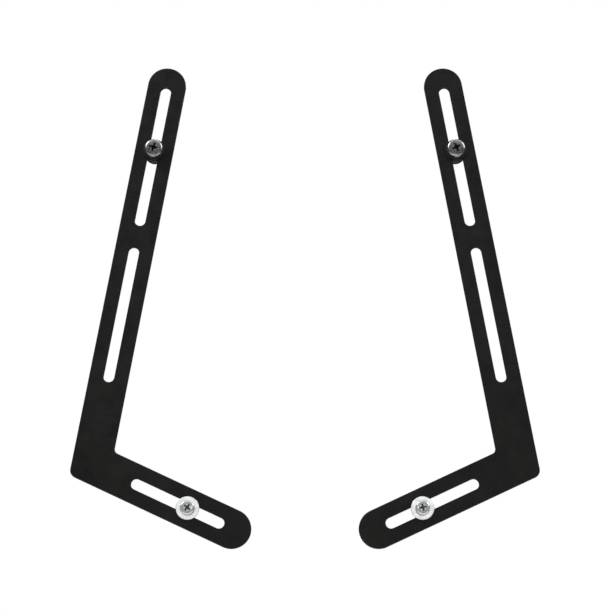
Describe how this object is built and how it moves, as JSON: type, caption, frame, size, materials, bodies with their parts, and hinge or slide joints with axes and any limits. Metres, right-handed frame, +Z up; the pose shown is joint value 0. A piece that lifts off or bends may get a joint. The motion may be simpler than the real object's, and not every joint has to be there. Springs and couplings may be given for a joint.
{
  "type": "soundbar bracket",
  "caption": "Mirrored pair of flat angled steel arms with long slots, each clamped by a screw, washer and spacer at its top and in its foot, to hang a soundbar under a television.",
  "frame": {"origin": "midway between the axes of the two upper screws, on the plane where the spacers meet the device behind them", "axes": "+X to the right as seen from the room behind the television, +Y into the television, along the screws, +Z up"},
  "size_m": [0.301, 0.0292, 0.3207],
  "materials": {
    "powder_coat": "satin black powder coat",
    "zinc_plate": "bright zinc plate",
    "black_nylon": "moulded black nylon",
    "spacer_plastic": "moulded black plastic"
  },
  "bodies": {
    "root": {"left_arm": "powder_coat", "right_arm": "powder_coat", "left_upper_screw": "zinc_plate", "left_upper_washer": "black_nylon", "left_upper_spacer": "spacer_plastic", "left_lower_screw": "zinc_plate", "left_lower_washer": "zinc_plate", "left_lower_spacer": "spacer_plastic", "right_upper_screw": "zinc_plate", "right_upper_washer": "black_nylon", "right_upper_spacer": "spacer_plastic", "right_lower_screw": "zinc_plate", "right_lower_washer": "zinc_plate", "right_lower_spacer": "spacer_plastic"}
  },
  "joints": []
}
